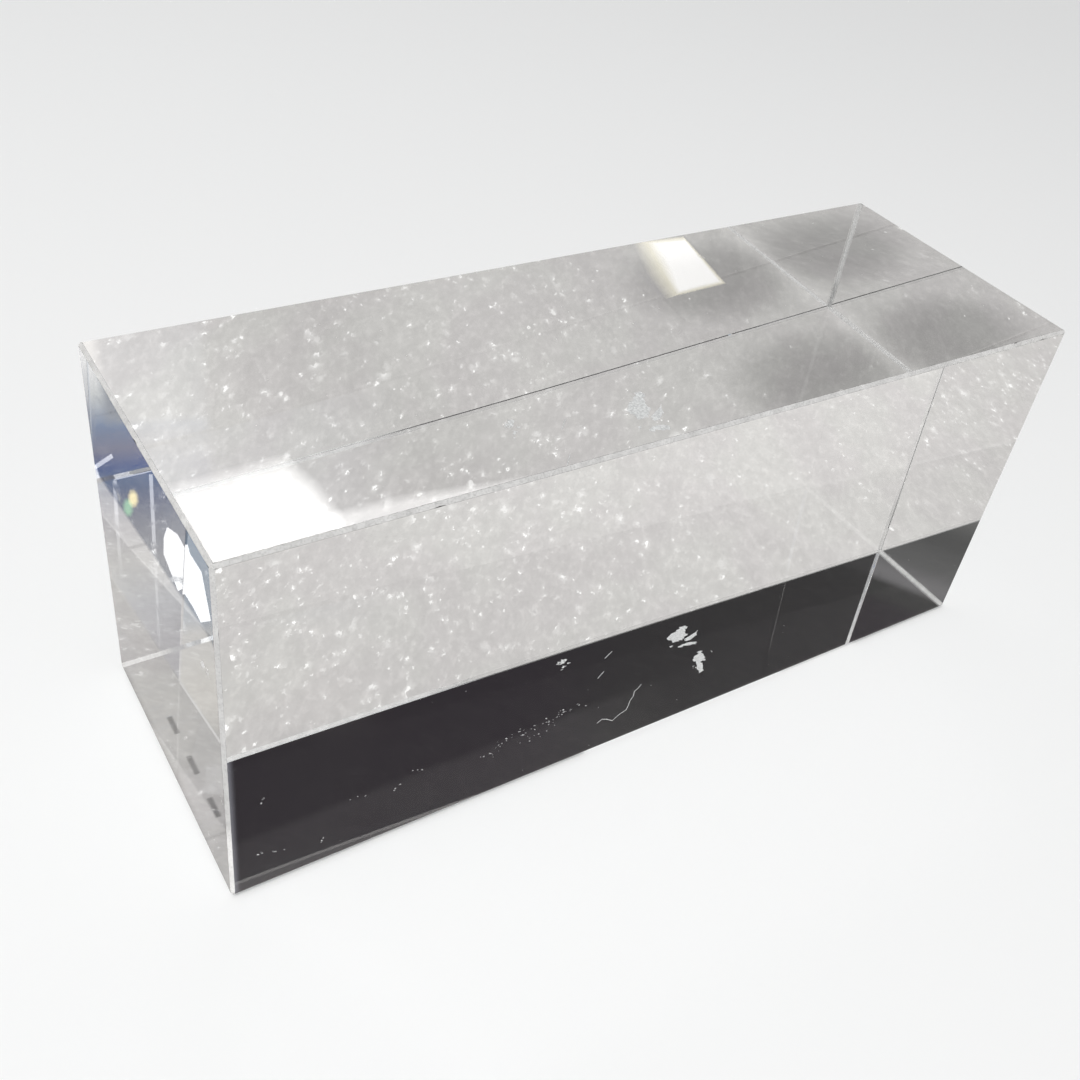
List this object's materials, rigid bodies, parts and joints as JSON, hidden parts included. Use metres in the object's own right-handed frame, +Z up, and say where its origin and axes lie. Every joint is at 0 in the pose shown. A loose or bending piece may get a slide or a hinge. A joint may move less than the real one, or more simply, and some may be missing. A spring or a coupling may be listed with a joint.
{
  "type": "rectangular glass prism",
  "caption": "Long rectangular block of clear optical glass with six flat polished faces meeting at right angles and a narrow ground bevel on every edge.",
  "frame": {"origin": "centre of the base face that the block rests on", "axes": "+X along the block's length between its end faces, +Y from the front face to the back face across the width, +Z up from the base face to the top face"},
  "size_m": [0.14, 0.048, 0.06],
  "materials": {
    "clear_glass": "clear crown optical glass, refractive index about 1.52, polished faces and matt white ground edge bevels"
  },
  "bodies": {
    "root": {"glass_prism": "clear_glass"}
  },
  "joints": []
}
